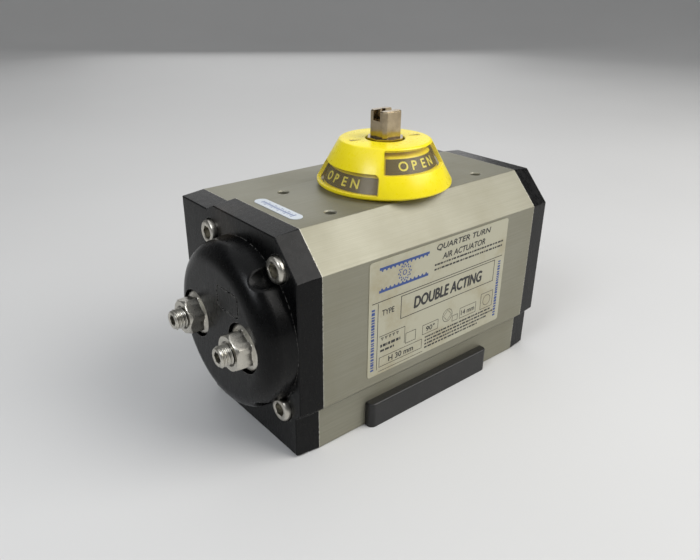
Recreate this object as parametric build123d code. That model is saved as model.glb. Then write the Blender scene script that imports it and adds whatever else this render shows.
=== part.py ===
from build123d import *
import math
import os

os.makedirs("parts", exist_ok=True)

# Rotary pneumatic actuator: two opposed pistons, each with a rack, turn one pinion by 90 degrees.
# Frame: origin on the pinion axis in the bottom mounting face, +Z up the shaft, X along the
# piston bore with the stop screws at -X, name plate on -Y, air-port pad on +Y. Millimetres.
# The pose modelled is the open one: pistons apart, shaft slot along X.

# ---- housing -------------------------------------------------------------------------------
BODY_LENGTH = 117.3
BODY_TOP = 87.8
SIDE_NEAR = -34.35          # name plate face
SIDE_FAR = 46.5             # air-port pad face
PAD_TOP = 85.15
FOOT_HALF_WIDTH = 31.3      # narrower foot below the sloping step
FOOT_TOP = 17.5
STEP_TOP = 20.5
SHOULDER = 74.2             # where the near bevel starts
TOP_NEAR = -21.6
TOP_FAR = 20.3
PAD_SHOULDER = 26.0
BORE_Z = 46.8
BORE_R = 30.0
HALF = BODY_LENGTH / 2

# ---- end caps ------------------------------------------------------------------------------
PLATE = 10.0
PLATE_DRAFT = 5.1           # degrees
DOME_R = 33.4
DOME_HEIGHT = 12.5
DOME_DRAFT = 1.6            # how much narrower the dome is at its face
DOME_ROUND = 8.0
SCREW_Y = 22.8              # cap screws, M6
SCREW_Z = (19.0, 75.8)
HEAD_R = 4.95
HEAD_HEIGHT = 6.0
HEAD_PROUD = 2.2
SCALLOP_R = 5.8
SCALLOP_LIP = 1.8           # rounding of the scallops' edges
M6_R = 3.0
CAP_SCREW_LENGTH = 20.0
PLATE_FACE = HALF + PLATE
DOME_FACE = PLATE_FACE + DOME_HEIGHT

# ---- pinion and racks ----------------------------------------------------------------------
MODULE = 1.5
TEETH = 15
PITCH_R = MODULE * TEETH / 2
PRESSURE = math.radians(20)
ADDENDUM = 0.8 * MODULE
DEDENDUM = MODULE
BACKLASH = 0.14
PITCH = math.pi * MODULE
GEAR_HEIGHT = 20.0
RACK_HEIGHT = 18.0
STROKE = PITCH_R * math.pi / 2
GEAR_BOTTOM = BORE_Z - GEAR_HEIGHT / 2
GEAR_TOP = BORE_Z + GEAR_HEIGHT / 2

JOURNAL_LOW_R = 13.0
JOURNAL_TOP_R = 10.0
COLLAR_R = 12.0
FIT = 0.05                  # radial clearance of running fits
SHAFT_FOOT = 3.6            # lower end of the pinion, above the mounting face
COLLAR_TOP = 75.8
OCTAGON_START = 91.5
OCTAGON_AF = 14.0
OCTAGON_TOP = 107.2
SHAFT_TOP = 117.8           # 30 mm above the top face
SHAFT_AF = 9.8
DRIVE_AF = 14.0             # female star drive
DRIVE_DEPTH = 18.0

# ---- pistons -------------------------------------------------------------------------------
PISTON_FACE = 57.0          # outer face at rest
HEAD_THICK = 13.0
PISTON_R = 29.6
RACK_BACK = 24.0
RACK_END = 7.0              # past the pinion axis, at rest
SEAL_R = BORE_R - 0.1
STOP_Y = 17.0
STOP_R = 4.0                # M8
STOP_TIP = 91.3             # outer end of both stop screws
NUT_AF = 13.0
NUT_HEIGHT = 8.0
FLANGE_R = 8.8
NUT_RECESS_R = 9.6
NUT_RECESS = 2.2
RECESS_FLOOR = DOME_FACE - NUT_RECESS

# ---- position indicator --------------------------------------------------------------------
CONE_BOTTOM = 88.9
CONE_RIM = 90.4
CONE_TOP = 106.6
CONE_R = 27.7
CONE_TOP_R = 18.5
SKIN = 1.7
STRIP_THICK = 0.35

# ---- interfaces ----------------------------------------------------------------------------
F05_PCD = 50.0
CENTRING_R = 17.5
CENTRING_DEPTH = 3.0
TOP_PATTERN = (80.0, 30.0)
PORT_SPACING = 24.0
PORT_Z = 52.8
PORT_R = 5.8
VALVE_PATTERN_Z = 32.0
M5_R = 2.1
MOUTH = 0.4                 # chamfer at the mouth of tapped holes

OPEN_SIDES = (0, 180)       # cone quadrants with the low windows, degrees about Z


# ---- small helpers -------------------------------------------------------------------------
def rod_x(radius, x0, x1, y=0.0, z=BORE_Z):
    """Cylinder along X from x0 to x1."""
    return Pos((x0 + x1) / 2, y, z) * Rot(0, 90, 0) * Cylinder(radius, abs(x1 - x0))


def rod_y(radius, y0, y1, x, z):
    """Cylinder along Y from y0 to y1."""
    return Pos(x, (y0 + y1) / 2, z) * Rot(90, 0, 0) * Cylinder(radius, abs(y1 - y0))


def rod_z(radius, z0, z1, x=0.0, y=0.0):
    """Cylinder along Z from z0 to z1."""
    return Pos(x, y, (z0 + z1) / 2) * Cylinder(radius, abs(z1 - z0))


def block(x0, x1, y0, y1, z0, z1):
    """Box between two corners."""
    return Pos((x0 + x1) / 2, (y0 + y1) / 2, (z0 + z1) / 2) * Box(x1 - x0, y1 - y0, z1 - z0)


def ring_x(r_in, r_out, x0, x1, y=0.0, z=BORE_Z):
    """Rounded ring about an X axis, such as a seal."""
    ring = rod_x(r_out, x0, x1, y, z) - rod_x(r_in, x0, x1, y, z)
    edge = 0.35 * min(abs(x1 - x0), r_out - r_in)
    return fillet(ring.edges().filter_by(GeomType.CIRCLE), edge)


def plain_ring(r_in, r_out, z0, z1):
    """Square-edged ring about the pinion axis."""
    return rod_z(r_out, z0, z1) - rod_z(r_in, z0, z1)


def rounded_ring(r_in, r_out, z0, z1):
    """Rounded ring about the pinion axis, such as an O-ring."""
    ring = plain_ring(r_in, r_out, z0, z1)
    edge = 0.35 * min(z1 - z0, r_out - r_in)
    return fillet(ring.edges().filter_by(GeomType.CIRCLE), edge)


def turned_z(points):
    """Solid turned about Z from (radius, z) points."""
    return revolve(Plane.XZ * make_face(Polyline(*points, close=True)), Axis.Z, 360)


def prism_z(across_flats, sides, z0, z1, turn=0.0):
    """Upright prism with a regular outline."""
    outline = RegularPolygon(across_flats / 2, sides, major_radius=False, rotation=turn)
    return Pos(0, 0, z0) * extrude(outline, z1 - z0)


def save(shape, name):
    """Write one sub-part."""
    shape.label = name
    export_step(shape, f"parts/{name}.step")


def mirrored(shape):
    """The same piece turned half round the pinion axis."""
    return Rot(0, 0, 180) * shape


# ---- housing -------------------------------------------------------------------------------
def body_outline():
    """Cross-section of the extrusion, looking along X."""
    corners = [
        (-FOOT_HALF_WIDTH, 0), (-FOOT_HALF_WIDTH, FOOT_TOP), (SIDE_NEAR, STEP_TOP),
        (SIDE_NEAR, SHOULDER), (TOP_NEAR, BODY_TOP), (TOP_FAR, BODY_TOP),
        (PAD_SHOULDER, PAD_TOP), (SIDE_FAR, PAD_TOP), (SIDE_FAR, STEP_TOP),
        (FOOT_HALF_WIDTH, FOOT_TOP), (FOOT_HALF_WIDTH, 0),
    ]
    outline = make_face(Polyline(*corners, close=True))
    return fillet(outline.vertices(), 0.7)


GALLERY_Y = 38.5            # air gallery to both end chambers
GALLERY_Z = 66.0
GALLERY_R = 1.8
UPPER_SEAT = 77.0           # faces that the bearings stand on
UPPER_BUSH_TOP = 82.2
UPPER_BUSH_R = 11.9
LOWER_SEAT = 9.5
LOWER_BUSH_TOP = 15.5
LOWER_BUSH_R = 14.9
RING_RELIEF_R = 13.5        # room for the inner thrust ring
BORE_WALL_LOW = 25.0        # heights inside the piston bore, where the shaft bores start
BORE_WALL_HIGH = 60.0
F05_R = 2.5                 # M6 tapping


def housing():
    """Extruded body with the piston bore, shaft bores, air ways and tapped holes."""
    body = extrude(Plane.YZ * body_outline(), HALF, both=True)
    body -= rod_x(BORE_R, -HALF, HALF)
    body -= rod_z(CENTRING_R, 0, CENTRING_DEPTH)
    body -= rod_z(JOURNAL_LOW_R + FIT, 0, BORE_WALL_LOW)
    body -= rod_z(LOWER_BUSH_R, LOWER_SEAT, BORE_WALL_LOW)
    body -= rod_z(RING_RELIEF_R, BORE_WALL_HIGH, UPPER_SEAT)
    body -= rod_z(UPPER_BUSH_R, BORE_WALL_HIGH, UPPER_BUSH_TOP)
    body -= rod_z(JOURNAL_TOP_R + FIT, BORE_WALL_HIGH, BODY_TOP)
    for x in (-HALF, HALF):
        for y in (-SCREW_Y, SCREW_Y):
            for z in SCREW_Z:
                inward = x - math.copysign(CAP_SCREW_LENGTH, x)
                body -= rod_x(M6_R + FIT, x, inward, y, z)
    for turn in (45, 135, 225, 315):
        angle = math.radians(turn)
        x = F05_PCD / 2 * math.cos(angle)
        y = F05_PCD / 2 * math.sin(angle)
        body -= rod_z(F05_R, 0, 10, x, y)
        body -= Pos(x, y, MOUTH / 2) * Cone(F05_R + MOUTH, F05_R, MOUTH)
    for x in (-TOP_PATTERN[0] / 2, TOP_PATTERN[0] / 2):
        for y in (-TOP_PATTERN[1] / 2, TOP_PATTERN[1] / 2):
            body -= rod_z(M5_R, BODY_TOP - 8, BODY_TOP, x, y)
            body -= Pos(x, y, BODY_TOP - MOUTH / 2) * Cone(M5_R, M5_R + MOUTH, MOUTH)
    for x in (-PORT_SPACING / 2, PORT_SPACING / 2):
        body -= rod_y(PORT_R, SIDE_FAR - 11, SIDE_FAR, x, PORT_Z)
        for z in (PORT_Z - VALVE_PATTERN_Z / 2, PORT_Z + VALVE_PATTERN_Z / 2):
            body -= rod_y(M5_R, SIDE_FAR - 9, SIDE_FAR, x, z)
    body -= rod_y(2.5, 20, SIDE_FAR - 10, -PORT_SPACING / 2, PORT_Z)
    body -= rod_x(GALLERY_R, -HALF, HALF, GALLERY_Y, GALLERY_Z)
    body -= rod_z(GALLERY_R, PORT_Z, GALLERY_Z, PORT_SPACING / 2, GALLERY_Y)
    return body


# ---- end caps (drawn at -X, the flat one is turned to +X) ----------------------------------
SEAL_GROOVE = (30.6, 32.5)
SEAL_DEPTH = 1.4
POCKET_R = 28.5             # hollow inside a cap
CLEARANCE_R = 3.3           # cap screw holes
COUNTERBORE_R = 5.4


def cap_plate(outline):
    """Drafted plate with its face-seal groove, air slot and counterbored screw holes."""
    plate = Pos(-HALF, 0, 0) * extrude(Plane.YZ * outline, -PLATE, taper=PLATE_DRAFT)
    face = plate.faces().sort_by(Axis.X)[0]
    plate = fillet(face.edges(), 0.5)
    groove = rod_x(SEAL_GROOVE[1], -HALF - SEAL_DEPTH, -HALF)
    groove -= rod_x(SEAL_GROOVE[0], -HALF - SEAL_DEPTH, -HALF)
    return plate - groove


def screw_positions():
    """The four cap screws as (y, z)."""
    return [(y, z) for y in (-SCREW_Y, SCREW_Y) for z in SCREW_Z]


def drill_cap(cap):
    """Counterbored clearance holes for the cap screws."""
    seat = PLATE_FACE + HEAD_PROUD - HEAD_HEIGHT
    for y, z in screw_positions():
        cap -= rod_x(CLEARANCE_R, -PLATE_FACE, -HALF, y, z)
        cap -= rod_x(COUNTERBORE_R, -PLATE_FACE - 1, -seat, y, z)
    return cap


def air_slot(gallery_y):
    """Slot that joins the gallery to the end chamber, cut in a cap's inner face."""
    low, high = GALLERY_Z - GALLERY_R, GALLERY_Z + GALLERY_R
    return block(-HALF - 3.5, -HALF, 20, gallery_y + GALLERY_R, low, high)


def on_scallop(edge):
    """Whether an edge lies on the wall of a scallop, clear of the plate."""
    if edge.center().X > -PLATE_FACE - 0.5:
        return False
    for place in (0.1, 0.5, 0.9):
        point = edge.position_at(place)
        reach = min(math.hypot(point.Y - y, point.Z - z) for y, z in screw_positions())
        if abs(reach - SCALLOP_R) > 0.02:
            return False
    return True


def dome():
    """Round boss of the stop-screw cap, scalloped round the screw heads."""
    side = Plane((0, 0, BORE_Z), x_dir=(1, 0, 0), z_dir=(0, -1, 0))
    start = -PLATE_FACE + 2
    outline = make_face(Polyline(
        (start, 0), (start, DOME_R), (-PLATE_FACE, DOME_R),
        (-DOME_FACE, DOME_R - DOME_DRAFT), (-DOME_FACE, 0), close=True))
    rim = [v for v in outline.vertices() if abs(v.X + DOME_FACE) < 0.01 and v.Y > 1]
    outline = fillet(rim, DOME_ROUND)
    boss = revolve(side * outline, Axis((0, 0, BORE_Z), (1, 0, 0)), 360)
    for y, z in screw_positions():
        boss -= rod_x(SCALLOP_R, -DOME_FACE - 1, -PLATE_FACE, y, z)
    return fillet(boss.edges().filter_by(on_scallop), SCALLOP_LIP)


MARK = (14.6, 9.2)          # blank frame recessed in the dome face
MARK_Y = -8.7
MARK_Z = BORE_Z + 15.2
MARK_LINE = 0.7
MARK_DEPTH = 0.4


def face_mark():
    """Plain frame recessed in the dome face."""
    width, height = MARK
    line = RectangleRounded(width, height, 2.0)
    line -= RectangleRounded(width - 2 * MARK_LINE, height - 2 * MARK_LINE, 2.0 - MARK_LINE)
    plane = Plane((-DOME_FACE, MARK_Y, MARK_Z), x_dir=(0, -1, 0), z_dir=(-1, 0, 0))
    return extrude(plane * line, -MARK_DEPTH)


def left_end_cap():
    """Domed cap that carries the two stop screws."""
    cap = cap_plate(body_outline()) + dome()
    cap -= rod_x(POCKET_R, -PLATE_FACE + 3, -HALF)
    cap -= rod_x(25.0, -DOME_FACE + 7.5, -HALF)
    for y in (-STOP_Y, STOP_Y):
        cap += rod_x(6.6, -DOME_FACE + 7, -PLATE_FACE + 4, y)
    for y in (-STOP_Y, STOP_Y):
        cap -= rod_x(STOP_R + FIT, -DOME_FACE, -HALF, y)
        cap -= rod_x(NUT_RECESS_R, -DOME_FACE, -RECESS_FLOOR, y)
        cap -= rod_x(6.2, -RECESS_FLOOR, -RECESS_FLOOR + 1.6, y)
    cap -= air_slot(GALLERY_Y)
    cap -= face_mark()
    return drill_cap(cap)


def right_end_cap():
    """Flat cap, same outline seen from the other end."""
    outline = mirror(body_outline(), Plane.YZ)
    cap = cap_plate(outline)
    cap -= rod_x(POCKET_R, -HALF - 3, -HALF)
    cap = drill_cap(cap)
    slot = mirror(air_slot(GALLERY_Y), Plane.XZ)
    return mirrored(cap - slot)


def cap_seal():
    """Face seal that fills the groove of the left cap."""
    return ring_x(SEAL_GROOVE[0] + 0.1, SEAL_GROOVE[1] - 0.1, -HALF - SEAL_DEPTH, -HALF)


def cap_screws():
    """Four M6 socket cap screws of the left cap."""
    screws = []
    head_face = PLATE_FACE + HEAD_PROUD
    seat = head_face - HEAD_HEIGHT
    for y, z in screw_positions():
        head = rod_x(HEAD_R, -head_face, -seat, y, z)
        rim = head.edges().filter_by(GeomType.CIRCLE).sort_by(Axis.X)[0]
        head = chamfer(rim, 0.4)
        screw = head + rod_x(M6_R, -seat, -HALF + CAP_SCREW_LENGTH - 2, y, z)
        socket = Plane((-head_face, y, z), x_dir=(0, 1, 0), z_dir=(-1, 0, 0))
        screw -= extrude(socket * RegularPolygon(2.5, 6, major_radius=False), -3.2)
        screws.append(screw)
    return Compound(children=screws)


# ---- stop screws ---------------------------------------------------------------------------
def stop_screw(y, tip):
    """M8 set screw from its outer end to its tip, socket at the outer end."""
    screw = rod_x(STOP_R, -STOP_TIP, tip, y)
    screw = chamfer(screw.edges().filter_by(GeomType.CIRCLE), 0.6)
    socket = Plane((-STOP_TIP, y, BORE_Z), x_dir=(0, 1, 0), z_dir=(-1, 0, 0))
    return screw - extrude(socket * RegularPolygon(2.0, 6, major_radius=False), -5)


def stop_lock_nuts():
    """Flange nuts that lock the stop screws, seated in the dome."""
    nuts = []
    for y, turn in ((-STOP_Y, 30), (STOP_Y, 15)):
        seat = Plane((-RECESS_FLOOR, y, BORE_Z), x_dir=(0, 1, 0), z_dir=(-1, 0, 0))
        nut = extrude(seat * Circle(FLANGE_R), 1.4)
        slope = Plane((-RECESS_FLOOR - 1.4, y, BORE_Z), x_dir=(0, 1, 0), z_dir=(-1, 0, 0))
        nut += extrude(slope * Circle(FLANGE_R), 1.6, taper=45)
        hexagon = RegularPolygon(NUT_AF / 2, 6, major_radius=False, rotation=turn)
        flats = extrude(seat * hexagon, NUT_HEIGHT)
        rounding = extrude(seat * Circle(NUT_AF / 2 + 1.8), NUT_HEIGHT)
        rounding = chamfer(rounding.edges().sort_by(Axis.X)[0], 1.3)
        nut += flats & rounding
        nut -= rod_x(STOP_R + FIT, -RECESS_FLOOR - NUT_HEIGHT, -RECESS_FLOOR, y)
        nuts.append(nut)
    return Compound(children=nuts)


def stop_screw_seals():
    """O-rings under the lock nuts."""
    seals = []
    for y in (-STOP_Y, STOP_Y):
        seals.append(ring_x(STOP_R + 0.15, 6.1, -RECESS_FLOOR, -RECESS_FLOOR + 1.5, y))
    return Compound(children=seals)


# ---- pinion --------------------------------------------------------------------------------
def involute(angle):
    """Involute function of a pressure angle."""
    return math.tan(angle) - angle


def gear_tooth():
    """One pinion tooth, centred on +Y."""
    base_r = PITCH_R * math.cos(PRESSURE)
    tip_r = PITCH_R + ADDENDUM
    half_pitch = (PITCH / 2 - BACKLASH / 2) / (2 * PITCH_R)

    def flank(radius, side):
        spread = half_pitch + involute(PRESSURE) - involute(math.acos(base_r / radius))
        angle = math.pi / 2 - side * spread
        return (radius * math.cos(angle), radius * math.sin(angle))

    radii = [base_r + 0.001 + (tip_r - base_r - 0.001) * i / 5 for i in range(6)]
    right = [flank(r, 1) for r in radii]
    left = [flank(r, -1) for r in radii]
    root = 0.82
    low_right = (right[0][0] * root, right[0][1] * root)
    low_left = (left[0][0] * root, left[0][1] * root)
    edges = [
        Spline(*right),
        ThreePointArc(right[-1], (0, tip_r), left[-1]),
        Spline(*reversed(left)),
        Line(left[0], low_left),
        Line(low_left, low_right),
        Line(low_right, right[0]),
    ]
    return Pos(0, 0, GEAR_BOTTOM) * extrude(make_face(edges), GEAR_HEIGHT)


def pinion():
    """Pinion shaft: star drive below, gear in the middle, square end above."""
    shaft = rod_z(JOURNAL_LOW_R, SHAFT_FOOT, GEAR_BOTTOM)
    shaft += rod_z(PITCH_R - DEDENDUM, GEAR_BOTTOM, GEAR_TOP)
    shaft += rod_z(COLLAR_R, GEAR_TOP, COLLAR_TOP)
    shaft += rod_z(JOURNAL_TOP_R, COLLAR_TOP, OCTAGON_START)
    shaft += prism_z(OCTAGON_AF, 8, OCTAGON_START, OCTAGON_TOP, 22.5)
    square = extrude(chamfer(Rectangle(SHAFT_AF, SHAFT_AF).vertices(), 1.3), SHAFT_TOP - OCTAGON_TOP)
    square = chamfer(square.edges().group_by(Axis.Z)[-1], 0.5)
    shaft += Pos(0, 0, OCTAGON_TOP) * square
    tooth = gear_tooth()
    shaft += [Rot(0, 0, 360 * i / TEETH) * tooth for i in range(TEETH)]
    shaft -= plain_ring(11.3, 14, 5.6, 8.0)
    shaft -= plain_ring(8.4, 11, 83.0, 85.4)
    shaft -= plain_ring(9.2, 11, 89.7, 90.9)
    for turn in (0, 45):
        drive = Rectangle(DRIVE_AF, DRIVE_AF, rotation=turn) & Circle(9.05)
        shaft -= Pos(0, 0, SHAFT_FOOT) * extrude(drive, DRIVE_DEPTH)
    shaft -= block(-8, 8, -2, 2, SHAFT_TOP - 4, SHAFT_TOP)
    shaft -= rod_z(2.5, SHAFT_TOP - 12, SHAFT_TOP)
    return shaft


def circlip():
    """External retaining ring in the upper groove, gap towards +X."""
    clip = plain_ring(9.25, 12.8, 89.75, 90.85)
    return clip - block(4, 14, -2.5, 2.5, 89, 91.5)


# ---- pistons (left one drawn; its rack lies on +Y) -----------------------------------------
def rack_tooth(x):
    """Straight-sided rack tooth whose tip points to the pinion axis."""
    half = (PITCH / 2 - BACKLASH / 2) / 2
    lean = math.tan(PRESSURE)
    tip = half - ADDENDUM * lean
    root = half + (ADDENDUM + 0.3 + 0.5) * lean
    inner = PITCH_R - ADDENDUM
    outer = PITCH_R + ADDENDUM + 0.3 + 0.5
    corners = [(x - tip, inner), (x + tip, inner), (x + root, outer), (x - root, outer)]
    outline = make_face(Polyline(*corners, close=True))
    return Pos(0, 0, BORE_Z - RACK_HEIGHT / 2) * extrude(outline, RACK_HEIGHT)


def piston(first_tooth, stop_hole):
    """Piston head with seal grooves and its rack; first_tooth is the tooth nearest the free end."""
    head = rod_x(PISTON_R, -PISTON_FACE, -PISTON_FACE + HEAD_THICK)
    head = chamfer(head.edges().filter_by(GeomType.CIRCLE), 0.6)
    seal_groove = rod_x(BORE_R, -PISTON_FACE + 1.6, -PISTON_FACE + 5.0)
    head -= seal_groove - rod_x(27.0, -PISTON_FACE + 1.6, -PISTON_FACE + 5.0)
    band_groove = rod_x(BORE_R, -PISTON_FACE + 6.2, -PISTON_FACE + 11.8)
    head -= band_groove - rod_x(28.0, -PISTON_FACE + 6.2, -PISTON_FACE + 11.8)
    low = BORE_Z - RACK_HEIGHT / 2
    high = BORE_Z + RACK_HEIGHT / 2
    root = PITCH_R + ADDENDUM + 0.3
    bar = block(-PISTON_FACE + HEAD_THICK - 1, RACK_END, root, RACK_BACK, low, high)
    body = head + bar
    body += [rack_tooth(first_tooth - PITCH * i) for i in range(7)]
    body -= block(-33, -9, RACK_BACK - 1.5, RACK_BACK + 1, low + 1, high - 1)
    if stop_hole:
        body -= rod_x(STOP_R + 0.1, -PISTON_FACE - 1, -PISTON_FACE + HEAD_THICK + 1, -STOP_Y)
        body -= rod_x(6.3, -PISTON_FACE + 4.5, -PISTON_FACE + 7.5, -STOP_Y)
    return body


def piston_seal():
    """Lip of the piston O-ring, clear of the bore by a film."""
    return ring_x(27.05, SEAL_R, -PISTON_FACE + 1.65, -PISTON_FACE + 4.95)


def wear_band():
    """Guide band round the piston head."""
    band = rod_x(SEAL_R, -PISTON_FACE + 6.25, -PISTON_FACE + 11.75)
    return band - rod_x(28.05, -PISTON_FACE + 6.25, -PISTON_FACE + 11.75)


def rack_pad():
    """Guide shoe on the back of the rack, curved to the bore."""
    low = BORE_Z - RACK_HEIGHT / 2 + 1.05
    high = BORE_Z + RACK_HEIGHT / 2 - 1.05
    shoe = block(-32.95, -9.05, RACK_BACK - 1.45, BORE_R, low, high)
    return shoe & rod_x(SEAL_R - 0.05, -34, -8)


def rod_seal():
    """Seal in the left piston head round the long stop screw."""
    return ring_x(STOP_R + 0.1, 6.25, -PISTON_FACE + 4.6, -PISTON_FACE + 7.4, -STOP_Y)


# ---- position indicator --------------------------------------------------------------------
def cone_radius(z, inset=0.0):
    """Outer radius of the cover cone at a height."""
    slope = (CONE_R - CONE_TOP_R) / (CONE_TOP - CONE_RIM)
    return CONE_R - max(z - CONE_RIM, 0) * slope - inset


def cone_band(z0, z1, inset, thick):
    """Conical band between two heights."""
    outer = [(cone_radius(z0, inset), z0), (cone_radius(z1, inset), z1)]
    inner = [(cone_radius(z1, inset + thick), z1), (cone_radius(z0, inset + thick), z0)]
    return turned_z(outer + inner)


def wedge(centre, half_angle, z0, z1):
    """Upright sector of space about the pinion axis, centred on an angle in degrees."""
    reach = 60
    spread = math.radians(half_angle)
    sector = make_face(Polyline(
        (0, 0), (reach * math.cos(spread), -reach * math.sin(spread)),
        (reach * math.cos(spread), reach * math.sin(spread)), close=True))
    return Rot(0, 0, centre) * Pos(0, 0, z0) * extrude(sector, z1 - z0)


WINDOW_HALF = 43.2          # degrees each side of a window's middle
LOW_WINDOW = (CONE_RIM, 97.8)
HIGH_WINDOW = (97.3, 105.9)


def windows():
    """The four windows as (angle, lowest, highest)."""
    low = [(turn, *LOW_WINDOW) for turn in OPEN_SIDES]
    high = [(turn + 90, *HIGH_WINDOW) for turn in OPEN_SIDES]
    return low + high


def cone_shell():
    """Skin of the turning cover."""
    inner_top = CONE_TOP - SKIN
    return turned_z([
        (CONE_R, CONE_BOTTOM), (CONE_R, CONE_RIM), (CONE_TOP_R, CONE_TOP), (7.9, CONE_TOP),
        (7.9, inner_top), (cone_radius(inner_top, SKIN), inner_top),
        (CONE_R - SKIN, CONE_RIM), (CONE_R - SKIN, CONE_BOTTOM),
    ])


def indicator_cap():
    """Turning cover with its windows and the hub that fits the octagon."""
    cover = cone_shell()
    for turn, low, high in windows():
        cut = wedge(turn, WINDOW_HALF, low, high)
        cover -= cut - rod_z(cone_radius(high, SKIN) - 0.3, low, high)
    hub = rod_z(10.2, 97.5, CONE_TOP - SKIN)
    hub -= prism_z(OCTAGON_AF + 0.1, 8, 97, CONE_TOP, 22.5)
    return cover + hub


def indicator_lenses():
    """Clear panes in the windows of the cover."""
    panes = []
    for turn, low, high in windows():
        panes.append(wedge(turn, WINDOW_HALF, low, high) & cone_band(low, high, 0.15, SKIN - 0.3))
    return Compound(children=panes)


BASE_INSET = 3.0            # fixed cone, inside the cover
BASE_TOP = 103.3
BASE_WALL = 1.6
BASE_FLOOR = 90.6           # what the small screws' heads rest on
BASE_HOLE_R = 15.6
BASE_SCREW_X = 18.9


def indicator_base():
    """Fixed yellow cone under the cover, screwed to the housing."""
    inner = BASE_INSET + BASE_WALL
    ceiling = BASE_TOP - 1.4
    cone = turned_z([
        (CONE_R - BASE_INSET, BODY_TOP), (CONE_R - BASE_INSET, CONE_RIM),
        (cone_radius(BASE_TOP, BASE_INSET), BASE_TOP), (11.2, BASE_TOP), (11.2, ceiling),
        (cone_radius(ceiling, inner), ceiling), (cone_radius(BASE_FLOOR, inner), BASE_FLOOR),
        (BASE_HOLE_R, BASE_FLOOR), (BASE_HOLE_R, BODY_TOP),
    ])
    for x in (-BASE_SCREW_X, BASE_SCREW_X):
        cone -= rod_z(1.6, BODY_TOP, BASE_FLOOR, x)
    return cone


def indicator_screws():
    """Two small screws that hold the fixed cone."""
    head_top = BASE_FLOOR + 1.6
    screws = []
    for x in (-BASE_SCREW_X, BASE_SCREW_X):
        screws.append(rod_z(1.5, BODY_TOP, BASE_FLOOR, x) + rod_z(2.7, BASE_FLOOR, head_top, x))
    return Compound(children=screws)


STRIP_HALF = 41.5
LOW_STRIP = (CONE_RIM, 95.9)
HIGH_STRIP = (97.1, 102.4)


def strips(low_sides, high_sides):
    """Printed strips on the fixed cone, as (low band, high band)."""
    pieces = []
    for sides, (z0, z1) in ((low_sides, LOW_STRIP), (high_sides, HIGH_STRIP)):
        band = cone_band(z0, z1, BASE_INSET - STRIP_THICK, STRIP_THICK)
        for turn in sides:
            pieces.append(band & wedge(turn, STRIP_HALF, z0, z1))
    return Compound(children=pieces)


# ---- labels and trim -----------------------------------------------------------------------
LABEL_X = (-37.5, 40.8)
LABEL_Z = (24.5, 73.1)
LABEL_THICK = 0.2
TRIM_HALF = 35.3            # black bar
TRIM_HEIGHT = 11.0
TRIM_THICK = 3.8
TRIM_ROUND = 2.4            # its upright edges


def side_label():
    """Name plate foil on the near side."""
    foil = block(*LABEL_X, SIDE_NEAR - LABEL_THICK, SIDE_NEAR, *LABEL_Z)
    return fillet(foil.edges().filter_by(Axis.Y), 1.2)


def top_label():
    """Small round-ended foil near the domed cap."""
    outline = SlotOverall(27.5, 5.4, rotation=90)
    return Pos(-52.9, -0.3, BODY_TOP) * extrude(outline, LABEL_THICK)


def side_strip():
    """Black bar along the foot of the near side."""
    outer_face = -FOOT_HALF_WIDTH - TRIM_THICK
    bar = block(-TRIM_HALF, TRIM_HALF, outer_face, -FOOT_HALF_WIDTH, 0, TRIM_HEIGHT)
    outer = bar.faces().sort_by(Axis.Y)[0]
    bar = fillet(outer.edges().filter_by(Axis.Z), TRIM_ROUND)
    return fillet(bar.faces().sort_by(Axis.Y)[0].edges().group_by(Axis.Z)[-1], 0.8)


# ---- write every piece ---------------------------------------------------------------------
left_piston = piston(PITCH / 2, stop_hole=True)
right_piston = piston(PITCH, stop_hole=False)
inward_limit = -RACK_END - STROKE

pieces = {
    "housing": housing(),
    "left_end_cap": left_end_cap(),
    "right_end_cap": right_end_cap(),
    "left_cap_seal": cap_seal(),
    "right_cap_seal": mirrored(cap_seal()),
    "left_cap_screws": cap_screws(),
    "right_cap_screws": mirrored(cap_screws()),
    "stop_screw_short": stop_screw(STOP_Y, -PISTON_FACE - 0.1),
    "stop_screw_long": stop_screw(-STOP_Y, inward_limit - 0.1),
    "stop_lock_nuts": stop_lock_nuts(),
    "stop_screw_seals": stop_screw_seals(),
    "upper_bearing": plain_ring(JOURNAL_TOP_R + FIT, UPPER_BUSH_R, UPPER_SEAT, UPPER_BUSH_TOP),
    "lower_bearing": plain_ring(JOURNAL_LOW_R + FIT, LOWER_BUSH_R, LOWER_SEAT, LOWER_BUSH_TOP),
    "inner_thrust_ring": plain_ring(10.15, RING_RELIEF_R - 0.2, 76.0, UPPER_SEAT),
    "outer_thrust_ring": plain_ring(10.15, 14.8, BODY_TOP, 88.8),
    "steel_washer": plain_ring(10.05, 14.4, 88.95, 89.65),
    "circlip": circlip(),
    "pinion": pinion(),
    "pinion_upper_o_ring": rounded_ring(8.45, JOURNAL_TOP_R - 0.05, 83.1, 85.3),
    "pinion_lower_o_ring": rounded_ring(11.35, JOURNAL_LOW_R - 0.05, 5.7, 7.9),
    "left_piston": left_piston,
    "left_piston_seal": piston_seal(),
    "left_wear_band": wear_band(),
    "left_rack_pad": rack_pad(),
    "left_rod_seal": rod_seal(),
    "right_piston": mirrored(right_piston),
    "right_piston_seal": mirrored(piston_seal()),
    "right_wear_band": mirrored(wear_band()),
    "right_rack_pad": mirrored(rack_pad()),
    "indicator_cap": indicator_cap(),
    "indicator_lenses": indicator_lenses(),
    "indicator_base": indicator_base(),
    "indicator_screws": indicator_screws(),
    "open_strips": strips(OPEN_SIDES, (90, 270)),
    "shut_strips": strips((90, 270), OPEN_SIDES),
    "side_label": side_label(),
    "top_label": top_label(),
    "side_strip": side_strip(),
}
for name, shape in pieces.items():
    save(shape, name)
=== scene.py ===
import math
import random

import bmesh
import bpy
from mathutils import Matrix, Quaternion, Vector


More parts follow.
